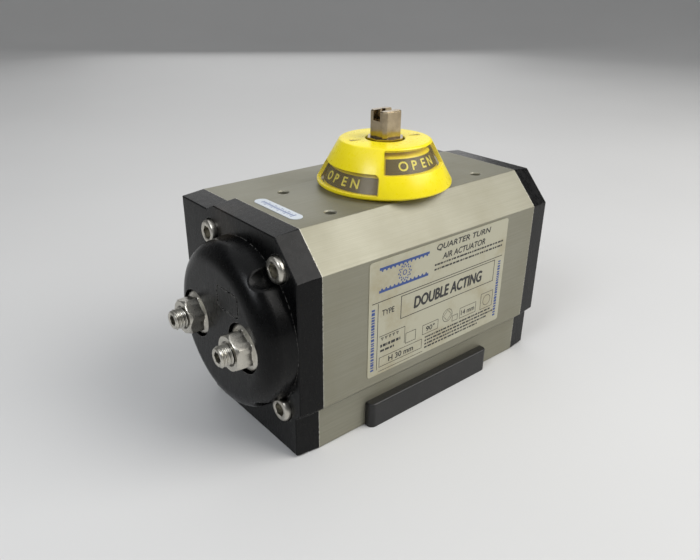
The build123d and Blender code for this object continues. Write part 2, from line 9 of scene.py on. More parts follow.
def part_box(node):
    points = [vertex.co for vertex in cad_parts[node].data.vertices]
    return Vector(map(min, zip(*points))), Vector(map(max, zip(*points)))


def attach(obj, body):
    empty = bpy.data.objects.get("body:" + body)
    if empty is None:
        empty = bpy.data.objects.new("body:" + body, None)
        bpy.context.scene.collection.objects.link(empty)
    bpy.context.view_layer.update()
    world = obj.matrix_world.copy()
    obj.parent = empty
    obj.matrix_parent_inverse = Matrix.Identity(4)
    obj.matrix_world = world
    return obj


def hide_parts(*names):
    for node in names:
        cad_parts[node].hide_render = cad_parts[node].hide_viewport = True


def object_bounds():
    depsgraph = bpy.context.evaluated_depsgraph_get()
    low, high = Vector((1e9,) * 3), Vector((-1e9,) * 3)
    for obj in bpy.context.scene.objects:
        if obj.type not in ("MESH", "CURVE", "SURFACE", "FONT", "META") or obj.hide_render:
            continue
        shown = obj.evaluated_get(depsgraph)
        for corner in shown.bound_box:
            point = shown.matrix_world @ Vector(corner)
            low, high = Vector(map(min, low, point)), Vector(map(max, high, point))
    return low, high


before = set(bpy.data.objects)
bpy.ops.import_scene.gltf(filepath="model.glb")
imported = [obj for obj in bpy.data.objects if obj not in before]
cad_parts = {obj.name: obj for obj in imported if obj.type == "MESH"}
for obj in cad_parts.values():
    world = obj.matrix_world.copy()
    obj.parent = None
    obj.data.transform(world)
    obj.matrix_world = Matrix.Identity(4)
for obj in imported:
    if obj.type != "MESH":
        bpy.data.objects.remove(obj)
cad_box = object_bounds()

# Looks of a rotary pneumatic actuator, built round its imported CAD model. Lengths in the helpers
# below are millimetres in the part's own frame; MM turns them into metres when a mesh is made.
MM = 0.001
random.seed(7)


def corners(node):
    """Lowest and highest corner of a CAD node, in millimetres."""
    low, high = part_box(node)
    return low / MM, high / MM


# ---- camera, light and floor -----------------------------------------------------------------
CAMERA_AT = Vector((-0.1794, -0.1931, 0.1680))
CAMERA_AZIMUTH = math.radians(-39.93)
CAMERA_ELEVATION = math.radians(25.41)
CAMERA_ROLL = math.radians(0.56)
CAMERA_LENS = 33.75
CAMERA_SENSOR = 36.0
LIGHTS_AIM = Vector((0, 0, 0.05))


def make_camera():
    """Camera at the height and angle from which the object is usually shown."""
    data = bpy.data.cameras.new("camera")
    data.lens = CAMERA_LENS
    data.sensor_width = CAMERA_SENSOR
    data.clip_start = 0.01
    camera = bpy.data.objects.new("camera", data)
    bpy.context.collection.objects.link(camera)
    level = math.cos(CAMERA_ELEVATION)
    back = Vector((math.sin(CAMERA_AZIMUTH) * level, -math.cos(CAMERA_AZIMUTH) * level,
                   math.sin(CAMERA_ELEVATION)))
    roll = Quaternion((0, 0, 1), CAMERA_ROLL)
    camera.rotation_mode = "QUATERNION"
    camera.rotation_quaternion = (-back).to_track_quat("-Z", "Y") @ roll
    camera.location = CAMERA_AT
    bpy.context.scene.camera = camera


def area_light(name, at, size, power, colour=(1, 1, 1)):
    """Square soft light that faces the object."""
    data = bpy.data.lights.new(name, "AREA")
    data.size = size
    data.energy = power
    data.color = colour
    light = bpy.data.objects.new(name, data)
    light.location = at
    aim = LIGHTS_AIM - Vector(at)
    light.rotation_euler = aim.to_track_quat("-Z", "Y").to_euler()
    bpy.context.collection.objects.link(light)


def make_lights():
    """Soft studio light, strongest from above the name-plate side."""
    area_light("key", (0.50, -0.62, 0.80), 0.85, 10.5, (1.0, 0.98, 0.95))
    area_light("overhead", (-0.1, 0.15, 1.0), 1.2, 3.2, (0.97, 0.98, 1.0))
    area_light("left_fill", (-0.72, -0.16, 0.74), 0.34, 3.2, (0.93, 0.96, 1.0))
    area_light("back", (0.6, 0.9, 0.5), 0.9, 1.9)
    world = bpy.data.worlds.new("world")
    world.use_nodes = True
    background = world.node_tree.nodes["Background"]
    background.inputs["Color"].default_value = (0.72, 0.74, 0.77, 1)
    background.inputs["Strength"].default_value = 0.17
    bpy.context.scene.world = world
    bpy.context.scene.view_settings.view_transform = "Standard"


# ---- material building -----------------------------------------------------------------------
EDGE_START = 0.03           # how far the rounded normal turns where edge wear starts
EDGE_FULL = 0.25            # and where it is complete
HOLLOW_DEEP = 0.12          # share of open sky at the bottom of a hollow
HOLLOW_OPEN = 0.60          # and where a hollow ends
WEAR_PER_METRE = 900


class Look:
    """One procedural material on a Principled shader."""

    def __init__(self, name, colour=(0.5, 0.5, 0.5), **sockets):
        self.material = bpy.data.materials.new(name)
        self.material.use_nodes = True
        tree = self.material.node_tree
        self.nodes = tree.nodes
        self.links = tree.links
        self.shader = self.nodes["Principled BSDF"]
        self.set("Base Color", (*colour, 1))
        for socket, value in sockets.items():
            self.set(socket.replace("_", " "), value)
        self.place = self.node("ShaderNodeTexCoord").outputs["Object"]

    def put(self, socket, value):
        """Link a socket, or set its number or colour."""
        if isinstance(value, bpy.types.NodeSocket):
            self.links.new(value, socket)
        else:
            socket.default_value = value

    def set(self, name, value):
        """Set or link an input of the shader."""
        self.put(self.shader.inputs[name], value)

    def node(self, kind, settings=None, **inputs):
        """New node with its settings and inputs; i0, i1 ... name inputs by number."""
        made = self.nodes.new(kind)
        for key, value in (settings or {}).items():
            setattr(made, key, value)
        for key, value in inputs.items():
            numbered = key[0] == "i" and key[1:].isdigit()
            socket = made.inputs[int(key[1:])] if numbered else made.inputs[key]
            self.put(socket, value)
        return made

    def stretched(self, x=1.0, y=1.0, z=1.0):
        """Object coordinates scaled by axis."""
        return self.node("ShaderNodeMapping", Vector=self.place, Scale=(x, y, z)).outputs[0]

    def noise(self, per_metre, detail=4.0, roughness=0.55, vector=None):
        """Grey noise from 0 to 1."""
        made = self.node("ShaderNodeTexNoise", Vector=vector or self.place, Scale=per_metre,
                         Detail=detail, Roughness=roughness)
        return made.outputs[0]

    def ramp(self, factor, *stops):
        """Colour ramp; a stop is (place, grey or colour)."""
        made = self.node("ShaderNodeValToRGB", Fac=factor)
        band = made.color_ramp
        while len(band.elements) < len(stops):
            band.elements.new(0.5)
        for element, (place, tone) in zip(band.elements, stops):
            element.position = place
            tone = (tone,) * 3 if isinstance(tone, (int, float)) else tone
            element.color = (*tone, 1)
        return made.outputs[0]

    def mix(self, factor, first, second):
        """Mix two colours."""
        first = (*first, 1) if isinstance(first, tuple) else first
        second = (*second, 1) if isinstance(second, tuple) else second
        made = self.node("ShaderNodeMix", {"data_type": "RGBA"}, i0=factor, i6=first, i7=second)
        return made.outputs[2]

    def sum(self, operation, first, second):
        """One arithmetic step."""
        return self.node("ShaderNodeMath", {"operation": operation}, i0=first, i1=second).outputs[0]

    def edges(self, width):
        """1 along the edges of the shape, 0 elsewhere."""
        round_normal = self.node("ShaderNodeBevel", {"samples": 6}, Radius=width).outputs[0]
        normal = self.node("ShaderNodeNewGeometry").outputs["Normal"]
        turned = self.node("ShaderNodeVectorMath", {"operation": "DOT_PRODUCT"},
                           i0=round_normal, i1=normal).outputs["Value"]
        away = self.sum("SUBTRACT", 1.0, turned)
        return self.node("ShaderNodeMapRange", i0=away, i1=EDGE_START, i2=EDGE_FULL).outputs[0]

    def hollows(self, reach):
        """1 deep inside sockets and grooves, 0 in the open."""
        open_sky = self.node("ShaderNodeAmbientOcclusion", {"samples": 8},
                             Distance=reach).outputs["AO"]
        return self.node("ShaderNodeMapRange", i0=open_sky, i1=HOLLOW_DEEP, i2=HOLLOW_OPEN,
                         i3=1.0, i4=0.0).outputs[0]

    def bump(self, height, distance, strength=1.0):
        """Fine relief from a grey height."""
        made = self.node("ShaderNodeBump", Height=height, Distance=distance, Strength=strength)
        self.set("Normal", made.outputs[0])


def worn(look, width, amount=0.45):
    """Patchy edge wear factor; a larger amount leaves fewer worn patches."""
    patchy = look.ramp(look.noise(WEAR_PER_METRE, 5), (amount - 0.08, 0.0), (amount + 0.08, 1.0))
    return look.sum("MULTIPLY", look.edges(width), patchy)


RUBBED_AT = (-0.0687, 0.012, 0.0815)    # where hands and tools rub the domed cap
RUBBED_CORE = 0.003
RUBBED_REACH = 0.011


def look_body():
    """Matt anodised extrusion: greige, faint lines along X, pale worn edges."""
    look = Look("anodised_extrusion", Metallic=0.6)
    lines = look.noise(2600, 3, 0.6, look.stretched(0.012, 1, 1))
    cloud = look.noise(28, 5, 0.6)
    speck = look.noise(5200, 2, 0.5)
    tone = look.ramp(lines, (0.3, (0.258, 0.250, 0.192)), (0.7, (0.294, 0.285, 0.224)))
    stained = look.mix(look.ramp(cloud, (0.45, 0.0), (0.75, 0.55)), tone, (0.235, 0.220, 0.152))
    spotted = look.mix(look.ramp(speck, (0.70, 0.0), (0.82, 0.5)), stained, (0.16, 0.148, 0.10))
    look.set("Base Color", look.mix(worn(look, 0.0007), spotted, (0.74, 0.72, 0.64)))
    look.set("Roughness", look.ramp(cloud, (0.3, 0.42), (0.7, 0.52)))
    grain = look.sum("ADD", look.sum("MULTIPLY", lines, 0.7), look.sum("MULTIPLY", speck, 0.5))
    look.bump(grain, 0.00003, 0.18)
    return look.material


def look_cap():
    """Black coated casting with rubbed edges, upright dusty scuffs and one rubbed patch."""
    look = Look("black_coated_casting", Specular_IOR_Level=0.17)
    cloud = look.noise(60, 5, 0.6)
    skin = look.noise(1900, 4, 0.6)
    scuffs = look.noise(420, 6, 0.7, look.stretched(1, 1, 0.22))
    tone = look.ramp(cloud, (0.3, (0.0012, 0.0013, 0.0015)), (0.75, (0.0032, 0.0033, 0.0034)))
    dusty = look.mix(look.ramp(scuffs, (0.58, 0.0), (0.76, 0.34)), tone, (0.016, 0.016, 0.015))
    away = look.node("ShaderNodeVectorMath", {"operation": "DISTANCE"},
                     i0=look.place, i1=RUBBED_AT).outputs["Value"]
    near = look.node("ShaderNodeMapRange", i0=away, i1=RUBBED_CORE, i2=RUBBED_REACH,
                     i3=1.0, i4=0.0).outputs[0]
    rubbed = look.sum("MULTIPLY", near, look.ramp(cloud, (0.35, 0.25), (0.60, 0.8)))
    warm = look.mix(rubbed, dusty, (0.030, 0.024, 0.018))
    look.set("Base Color", look.mix(worn(look, 0.0006, 0.50), warm, (0.20, 0.195, 0.185)))
    look.set("Roughness", look.ramp(scuffs, (0.35, 0.22), (0.75, 0.38)))
    look.bump(skin, 0.00006, 0.35)
    return look.material


def look_steel(name, colour, dark, roughness, stain=0.3):
    """Turned or brushed bright metal with random stains, and painted shade that darkens its
    hollows.
    """
    look = Look(name, Metallic=1.0)
    marks = look.noise(1500, 5, 0.6, look.stretched(3, 1, 1))
    cloud = look.noise(220, 5, 0.65)
    tone = look.mix(look.ramp(cloud, (0.40, 0.0), (0.72, stain)), colour, dark)
    # painted shade: sockets and grooves turn to a near-black copy of the dark tone where little
    # open sky reaches them
    tone = look.mix(look.hollows(0.0028), tone, tuple(part * 0.08 for part in dark))
    bright = tuple(min(1.0, part * 1.35) for part in colour)
    look.set("Base Color", look.mix(look.edges(0.0003), tone, bright))
    look.set("Roughness", look.ramp(marks, (0.3, roughness - 0.06), (0.7, roughness + 0.08)))
    look.bump(marks, 0.000012, 0.3)
    return look.material


def look_yellow():
    """Glossy moulded yellow with a faint flow and handling dirt."""
    look = Look("yellow_moulding", Specular_IOR_Level=0.5)
    flow = look.noise(70, 3, 0.5)
    dirt = look.noise(520, 6, 0.7)
    tone = look.ramp(flow, (0.35, (0.95, 0.775, 0.006)), (0.7, (1.0, 0.84, 0.010)))
    dirty = look.mix(look.ramp(dirt, (0.66, 0.0), (0.82, 0.35)), tone, (0.52, 0.38, 0.03))
    look.set("Base Color", dirty)
    look.set("Roughness", look.ramp(dirt, (0.35, 0.24), (0.75, 0.42)))
    look.bump(flow, 0.0001, 0.15)
    return look.material


def look_lens():
    """Clear amber-tinted window plastic, a little hazy, with hairline scratches."""
    look = Look("amber_window", (0.86, 0.66, 0.28), Alpha=0.08)
    scratches = look.noise(900, 4, 0.7, look.stretched(1, 1, 6))
    look.set("Roughness", look.ramp(scratches, (0.35, 0.10), (0.75, 0.30)))
    look.bump(scratches, 0.00002, 0.2)
    return look.material


def look_plastic(name, first, second, roughness, grain_per_metre=3000, relief=0.00003):
    """Matt moulded plastic or rubber with a fine grain."""
    look = Look(name)
    grain = look.noise(grain_per_metre, 3, 0.5)
    cloud = look.noise(110, 5, 0.65)
    look.set("Base Color", look.ramp(cloud, (0.3, first), (0.72, second)))
    look.set("Roughness", look.ramp(grain, (0.3, roughness - 0.06), (0.7, roughness + 0.08)))
    look.bump(grain, relief, 0.4)
    return look.material


def look_foil(name, clean, aged, dirt_amount):
    """Printed label foil, yellowed in patches, with small dirt specks."""
    look = Look(name)
    cloud = look.noise(55, 6, 0.7)
    speck = look.noise(1100, 5, 0.7)
    tone = look.mix(look.ramp(cloud, (0.48, 0.0), (0.70, dirt_amount)), clean, aged)
    look.set("Base Color", look.mix(look.ramp(speck, (0.68, 0.0), (0.78, dirt_amount)),
                                    tone, (0.20, 0.16, 0.10)))
    look.set("Roughness", look.ramp(cloud, (0.3, 0.34), (0.7, 0.50)))
    look.bump(speck, 0.00002, 0.3)
    return look.material


def look_ink(name, colour, faded):
    """Printed ink, a little worn."""
    look = Look(name)
    wear = look.noise(1500, 5, 0.7)
    look.set("Base Color", look.mix(look.ramp(wear, (0.50, 0.0), (0.80, 0.6)), colour, faded))
    look.set("Roughness", look.ramp(wear, (0.3, 0.38), (0.7, 0.55)))
    return look.material


def look_floor():
    """Pale studio sweep."""
    look = Look("studio_floor")
    cloud = look.noise(3, 3, 0.5)
    look.set("Base Color", look.ramp(cloud, (0.3, (0.66, 0.66, 0.655)), (0.7, (0.69, 0.69, 0.685))))
    look.set("Roughness", look.ramp(cloud, (0.3, 0.6), (0.7, 0.7)))
    return look.material


# ---- mesh building ---------------------------------------------------------------------------
class Shape:
    """Vertices and faces gathered for one piece, in millimetres."""

    def __init__(self):
        self.verts = []
        self.faces = []

    def add(self, verts, faces):
        """Append a mesh."""
        start = len(self.verts)
        self.verts += [tuple(v) for v in verts]
        self.faces += [tuple(start + i for i in face) for face in faces]

    def skin(self, loops, closed=False):
        """Surface through loops of points; the first and last are capped unless closed."""
        count = len(loops[0])
        verts = [point for loop in loops for point in loop]
        spans = len(loops) if closed else len(loops) - 1
        faces = []
        for i in range(spans):
            a = i * count
            b = (i + 1) % len(loops) * count
            for j in range(count):
                k = (j + 1) % count
                faces.append((a + j, a + k, b + k, b + j))
        if not closed:
            faces.append(tuple(reversed(range(count))))
            faces.append(tuple((len(loops) - 1) * count + j for j in range(count)))
        self.add(verts, faces)

    def lathe(self, rings, centre, axis, count=48):
        """Body of (distance along axis, radius or radius function of angle and distance)."""
        turn = Vector((0, 0, 1)).rotation_difference(Vector(axis))
        loops = []
        for along, radius in rings:
            loop = []
            for j in range(count):
                angle = 2 * math.pi * j / count
                r = radius(angle, along) if callable(radius) else radius
                point = Vector((r * math.cos(angle), r * math.sin(angle), along))
                loop.append(Vector(centre) + turn @ point)
            loops.append(loop)
        self.skin(loops)

    def block(self, low, high):
        """Box between two corners."""
        x0, y0, z0 = low
        x1, y1, z1 = high
        self.skin([[(x0, y0, z), (x1, y0, z), (x1, y1, z), (x0, y1, z)] for z in (z0, z1)])

    def piece(self, name, material, body, slot, *replaced, sharp=32):
        """Make the mesh object, riding on its body."""
        mesh = bpy.data.meshes.new(name)
        mesh.from_pydata([[part * MM for part in v] for v in self.verts], [], self.faces)
        build = bmesh.new()
        build.from_mesh(mesh)
        bmesh.ops.remove_doubles(build, verts=build.verts, dist=1e-7)
        bmesh.ops.recalc_face_normals(build, faces=build.faces)
        build.to_mesh(mesh)
        build.free()
        mesh.shade_smooth()
        mesh.set_sharp_from_angle(angle=math.radians(sharp))
        mesh.materials.append(material)
        made = bpy.data.objects.new(name, mesh)
        bpy.context.collection.objects.link(made)
        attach(made, body)
        if replaced:
            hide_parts(*replaced)
        return made


def polygon(across_flats, sides, turn=0.0):
    """Radius of a regular polygon as a function of angle."""
    step = 2 * math.pi / sides

    def radius(angle, along):
        return across_flats / 2 / math.cos((angle - turn + step / 2) % step - step / 2)
    return radius


def lettering(words, height, depth, bold=0.0, lean=0.0):
    """Vertices and faces of flat text centred on the origin, reading along +X, in millimetres."""
    curve = bpy.data.curves.new("words", "FONT")
    curve.body = words
    curve.size = height * 1.4
    curve.align_x = "CENTER"
    curve.align_y = "CENTER"
    curve.extrude = depth / 2
    curve.offset = bold
    curve.shear = lean
    curve.resolution_u = 4
    holder = bpy.data.objects.new("words", curve)
    bpy.context.collection.objects.link(holder)
    depsgraph = bpy.context.evaluated_depsgraph_get()
    mesh = bpy.data.meshes.new_from_object(holder.evaluated_get(depsgraph))
    verts = [v.co.copy() for v in mesh.vertices]
    faces = [tuple(p.vertices) for p in mesh.polygons]
    bpy.data.objects.remove(holder)
    bpy.data.curves.remove(curve)
    bpy.data.meshes.remove(mesh)
    return verts, faces


# ---- fasteners -------------------------------------------------------------------------------
HEAD_R = 4.95
HEAD_HEIGHT = 6.0
M6_R = 3.0
M8_R = 4.0
M8_PITCH = 1.25
THREAD_DEPTH = 0.62
SOCKET_M6 = 5.0
SOCKET_M8 = 4.0
RINGS_PER_TURN = 8          # of a thread
NUT_AF = 13.0
NUT_CORNER_R = 7.35
NUT_CHAMFER = 1.1           # height of the rounded crown
FLANGE_TOP = 1.35           # where the flange blends into the hexagon
FLANGE_SLOPE = 2.2
NUT_TURNS = (30, 15)        # degrees, near and far nut


def thread(crest, pitch, depth):
    """Radius of a screw thread as a function of angle and distance along it."""
    def radius(angle, along):
        phase = (along / pitch - angle / (2 * math.pi)) % 1.0
        tooth = min(1.0, max(0.0, abs(phase - 0.5) * 2.6 - 0.2))
        return crest - depth * (1 - tooth)
    return radius


def cap_screw(shape, seat, axis, length):
    """Socket cap screw; seat is where the head rests, axis points out of the head."""
    hexagon = polygon(SOCKET_M6, 6)
    top = HEAD_HEIGHT
    rings = [(-length, M6_R - 0.5), (-length + 0.5, M6_R), (0, M6_R), (0, HEAD_R - 0.15),
             (0.15, HEAD_R), (top - 1.15, HEAD_R), (top - 0.7, HEAD_R - 0.12),
             (top - 0.32, HEAD_R - 0.42), (top - 0.08, HEAD_R - 0.85), (top, HEAD_R - 1.3),
             (top, 3.15), (top - 0.25, hexagon), (top - 3.1, hexagon), (top - 3.3, 1.6),
             (top - 3.9, 0.15)]
    shape.lathe(rings, seat, axis, 60)


def cap_screws(node, direction, material):
    """The four screws of one end cap; direction is the sign of X that they point out to."""
    low, high = corners(node)
    face = low.x if direction < 0 else high.x
    tip = high.x if direction < 0 else low.x
    seat = face - direction * HEAD_HEIGHT
    shape = Shape()
    for y in (low.y + HEAD_R, high.y - HEAD_R):
        for z in (low.z + HEAD_R, high.z - HEAD_R):
            cap_screw(shape, (seat, y, z), (direction, 0, 0), abs(tip - seat))
    shape.piece(node + "_detailed", material, "housing", "stainless_steel", node, sharp=28)


def stop_screw(node, material):
    """Threaded set screw with a hexagon socket in its outer end."""
    low, high = corners(node)
    y = (low.y + high.y) / 2
    z = (low.z + high.z) / 2
    length = high.x - low.x
    wave = thread(M8_R - 0.02, M8_PITCH, THREAD_DEPTH)
    chamfer = 0.8

    def flank(angle, along):
        edge = min(along, length - along)
        limit = M8_R - chamfer + edge
        return min(wave(angle, along), limit)

    steps = int(length / (M8_PITCH / RINGS_PER_TURN))
    rings = [(0.0, 0.3)]
    rings += [(length * i / steps, flank) for i in range(steps + 1)]
    rings += [(length, 2.75), (length - 0.25, polygon(SOCKET_M8, 6)),
              (length - 4.0, polygon(SOCKET_M8, 6)), (length - 4.6, 0.2)]
    shape = Shape()
    shape.lathe(rings, (high.x, y, z), (-1, 0, 0), 36)
    shape.piece(node + "_threaded", material, node, "stainless_steel", node, sharp=50)


def lock_nuts(material):
    """Flange nuts: dished flange, chamfered hexagon, countersunk mouth."""
    low, high = corners("stop_lock_nuts")
    flange_r = (high.z - low.z) / 2
    height = high.x - low.x
    z = (low.z + high.z) / 2
    shape = Shape()
    for y, turn in zip((low.y + flange_r, high.y - flange_r), NUT_TURNS):
        hexagon = polygon(NUT_AF, 6, math.radians(turn))

        def crown(angle, along):
            drop = max(0.0, along - (height - NUT_CHAMFER))
            return min(hexagon(angle, along), NUT_CORNER_R - drop * 0.85)

        def blend(angle, along):
            return max(hexagon(angle, along),
                       flange_r - 0.25 - (along - FLANGE_TOP) * FLANGE_SLOPE)

        rings = [(0, M8_R + 0.05), (0, flange_r - 0.3), (0.3, flange_r), (1.0, flange_r),
                 (1.2, flange_r - 0.08), (FLANGE_TOP, flange_r - 0.25), (1.6, blend), (1.85, blend),
                 (2.1, blend), (2.35, hexagon)]
        rings += [(height - NUT_CHAMFER + NUT_CHAMFER * i / 6, crown) for i in range(7)]
        rings += [(height, 4.75), (height - 0.65, M8_R + 0.05)]
        shape.lathe(rings, (high.x, y, z), (-1, 0, 0), 72)
    shape.piece("stop_lock_nuts_detailed", material, "housing", "stainless_steel",
                "stop_lock_nuts", sharp=24)


# ---- position indicator ----------------------------------------------------------------------
cap_low, cap_high = corners("indicator_cap")
RIM_R = (cap_high.x - cap_low.x) / 2
RIM_BOTTOM = cap_low.z
RIM_TOP = 90.4
COVER_TOP = cap_high.z
COVER_TOP_R = 18.5
SKIN = 1.7
HUB_R = 10.2
HUB_BOTTOM = 97.5
HOLE_R = 7.9
OCTAGON = 14.1
LOW_WINDOW = (90.4, 97.8)
HIGH_WINDOW = (97.3, 105.9)
WINDOW_HALF = 43.2
BASE_INSET = 3.0
BASE_HOLE_R = 15.6
BASE_TOP_HOLE_R = 11.2
PANE_GAP = 0.03
PANE_FACE = 0.1             # how far the panes lie below the cover's outside
PANE_BACK = 1.3
LOW_STRIP = (90.4, 95.9)
HIGH_STRIP = (97.1, 102.4)
STRIP_HALF = 41.5
STRIP_BACK = 2.95           # depths below the cover's outside
STRIP_FACE = 2.75
LETTER_FACE = 2.68
LOW_LETTER_GAP = 5.05
HIGH_LETTER_GAP = 4.75
LETTER_HEIGHT = 3.7
LETTER_SQUASH = 0.87
POINTER_TURNS = (163, -17)  # degrees
OPEN_SIDES = (0, 180)
SHUT_SIDES = (90, 270)


def cone_radius(z, inset=0.0):
    """Radius of the cover cone at a height."""
    slope = (RIM_R - COVER_TOP_R) / (COVER_TOP - RIM_TOP)
    return RIM_R - max(z - RIM_TOP, 0) * slope - inset


def on_cone(angle, z, inset=0.0):
    """Point of the cone at an angle in degrees."""
    turn = math.radians(angle)
    r = cone_radius(z, inset)
    return (r * math.cos(turn), r * math.sin(turn), z)


def window_edge(distance, radius):
    """How far a rounded corner still closes the window, at a distance from its side."""
    if distance >= radius:
        return 0.0
    return radius - math.sqrt(max(radius ** 2 - (radius - distance) ** 2, 0))


def window_columns(low_window):
    """Angles across one quadrant as (offset from its middle, window bottom, window top, open)."""
    bottom, top = LOW_WINDOW if low_window else HIGH_WINDOW
    bottom_round, top_round = (0.7, 2.2) if low_window else (0.7, 0.7)
    mean_r = cone_radius((bottom + top) / 2)
    steps = [0, 0.03, 0.12, 0.3, 0.55, 0.9, 1.4, 1.9, 2.4]
    offsets = [math.degrees(step / mean_r) for step in steps]
    side = [-WINDOW_HALF + offset for offset in offsets]
    middle = [side[-1] + (-2 * side[-1]) * i / 24 for i in range(1, 24)]
    columns = [(-45.0, bottom + bottom_round, top - top_round, False)]
    for offset in side + middle + [-angle for angle in reversed(side)]:
        distance = math.radians(WINDOW_HALF - abs(offset)) * mean_r
        low = bottom + window_edge(distance, bottom_round)
        high = top - window_edge(distance, top_round)
        columns.append((offset, low, high, True))
    return columns


def cover_loop(angle, low, high):
    """Closed profile of the cover at one angle; points 3, 4 and 16, 17 bound the window."""
    turn = math.radians(angle)
    inner_top = COVER_TOP - SKIN
    inner_high = min(high, inner_top)
    hole = polygon(OCTAGON, 8, math.radians(22.5))(turn, 0)
    profile = [
        (RIM_R - 0.6, RIM_BOTTOM), (RIM_R, RIM_BOTTOM + 0.6), (RIM_R, RIM_TOP - 0.2),
        (cone_radius(low), low), (cone_radius(high), high),
        (cone_radius(COVER_TOP - 0.4), COVER_TOP - 0.4), (COVER_TOP_R - 0.2, COVER_TOP - 0.12),
        (COVER_TOP_R - 0.7, COVER_TOP), (HOLE_R + 0.3, COVER_TOP), (HOLE_R, COVER_TOP - 0.3),
        (HOLE_R, inner_top), (hole, inner_top),
        (hole, HUB_BOTTOM), (HUB_R, HUB_BOTTOM), (HUB_R, inner_top),
        (cone_radius(inner_top, SKIN), inner_top),
        (cone_radius(inner_high, SKIN), inner_high), (cone_radius(low, SKIN), low),
        (RIM_R - SKIN, RIM_TOP - 0.2), (RIM_R - SKIN, RIM_BOTTOM),
    ]
    return [(r * math.cos(turn), r * math.sin(turn), z) for r, z in profile]


OUTER_LOW = 3               # places of the window's corners in cover_loop
OUTER_HIGH = 4
INNER_HIGH = 16
INNER_LOW = 17


def indicator_cover(material):
    """Turning yellow cover with its four round-cornered windows."""
    shape = Shape()
    loops = []
    opened = []
    for middle in range(0, 360, 90):
        for offset, low, high, is_open in window_columns(middle in OPEN_SIDES):
            loops.append(cover_loop(middle + offset, low, high))
            opened.append(is_open)
    count = len(loops[0])
    faces = []
    for i in range(len(loops)):
        following = (i + 1) % len(loops)
        a = i * count
        b = following * count
        window = opened[i] and opened[following]
        for j in range(count):
            k = (j + 1) % count
            if window and j in (OUTER_LOW, INNER_HIGH):
                continue
            faces.append((a + j, a + k, b + k, b + j))
        if window:
            faces.append((a + OUTER_LOW, b + OUTER_LOW, b + INNER_LOW, a + INNER_LOW))
            faces.append((a + OUTER_HIGH, b + OUTER_HIGH, b + INNER_HIGH, a + INNER_HIGH))
        if opened[i] != opened[following]:
            edge = b if opened[following] else a
            faces.append(tuple(edge + j for j in (OUTER_LOW, OUTER_HIGH, INNER_HIGH, INNER_LOW)))
    shape.add([point for loop in loops for point in loop], faces)
    shape.piece("indicator_cover", material, "pinion", "indicator_yellow", "indicator_cap")


def indicator_panes(material):
    """Clear panes that fill the windows."""
    shape = Shape()
    for middle in range(0, 360, 90):
        loops = []
        for offset, low, high, is_open in window_columns(middle in OPEN_SIDES):
            if not is_open:
                continue
            angle = middle + offset * 0.998
            low += PANE_GAP
            high -= PANE_GAP
            loops.append([on_cone(angle, low, PANE_FACE), on_cone(angle, high, PANE_FACE),
                          on_cone(angle, high, PANE_BACK), on_cone(angle, low, PANE_BACK)])
        shape.skin(loops)
    shape.piece("indicator_panes", material, "pinion", "indicator_lens", "indicator_lenses")


def indicator_core(material):
    """Fixed yellow cone under the cover."""
    low, high = corners("indicator_base")
    top = high.z
    foot_r = cone_radius(RIM_TOP, BASE_INSET)
    rings = [(low.z, BASE_HOLE_R), (low.z, foot_r - 0.4), (low.z + 0.4, foot_r), (RIM_TOP, foot_r)]
    for i in range(1, 13):
        z = RIM_TOP + (top - 0.4 - RIM_TOP) * i / 12
        rings.append((z, cone_radius(z, BASE_INSET)))
    rings += [(top, cone_radius(top, BASE_INSET + 0.5)), (top, BASE_TOP_HOLE_R + 0.3),
              (top - 0.3, BASE_TOP_HOLE_R), (top - 1.4, BASE_TOP_HOLE_R),
              (top - 1.4, cone_radius(top - 1.4, BASE_INSET + 1.6)),
              (RIM_TOP, cone_radius(RIM_TOP, BASE_INSET + 1.6)), (RIM_TOP - 0.2, BASE_HOLE_R)]
    loops = []
    for angle in range(0, 360, 3):
        turn = math.radians(angle)
        loops.append([(r * math.cos(turn), r * math.sin(turn), z) for z, r in rings])
    shape = Shape()
    shape.skin(loops, closed=True)
    shape.piece("indicator_core", material, "housing", "indicator_yellow", "indicator_base")


def printed_strips(node, name, word, low_sides, high_sides, strip_material, ink):
    """Black strips on the fixed cone and the word on each of them."""
    strips = Shape()
    letters = Shape()
    for sides, (z0, z1), letter_gap in ((low_sides, LOW_STRIP, LOW_LETTER_GAP),
                                        (high_sides, HIGH_STRIP, HIGH_LETTER_GAP)):
        middle_z = (z0 + z1) / 2
        spacing = math.degrees(letter_gap / cone_radius(middle_z, BASE_INSET))
        for side in sides:
            loops = []
            for i in range(41):
                angle = side + STRIP_HALF * (i / 20 - 1)
                loops.append([on_cone(angle, z0, STRIP_BACK), on_cone(angle, z0, STRIP_FACE),
                              on_cone(angle, z1, STRIP_FACE), on_cone(angle, z1, STRIP_BACK)])
            strips.skin(loops)
            for i, letter in enumerate(word):
                centre = side + (i - (len(word) - 1) / 2) * spacing
                verts, faces = lettering(letter, LETTER_HEIGHT, 0.16, 0.07)
                placed = []
                for v in verts:
                    z = middle_z + v.y * LETTER_SQUASH
                    angle = centre + math.degrees(v.x / cone_radius(z, BASE_INSET))
                    placed.append(on_cone(angle, z, LETTER_FACE - v.z))
                letters.add(placed, faces)
    strips.piece(name + "_strips", strip_material, "housing", "indicator_print", node)
    letters.piece(name + "_letters", ink, "housing", "indicator_yellow")


def cover_marks(material):
    """Two slim pointers moulded in the top of the cover, coloured dark brown as painted shade."""
    shape = Shape()
    for turn in map(math.radians, POINTER_TURNS):
        outline = [(10.8, -0.18), (15.4, -1.15), (15.4, 1.15), (10.8, 0.18)]
        loops = []
        for z in (COVER_TOP - 0.05, COVER_TOP + 0.06):
            loops.append([(x * math.cos(turn) - y * math.sin(turn),
                           x * math.sin(turn) + y * math.cos(turn), z) for x, y in outline])
        shape.skin(loops)
    shape.piece("indicator_pointers", material, "pinion", "indicator_yellow")


# ---- name plate ------------------------------------------------------------------------------
INK_HEIGHT = 0.03
STICKER_BARS = 15
STICKER_MARGIN = 4.0
STICKER_STEP = 1.4


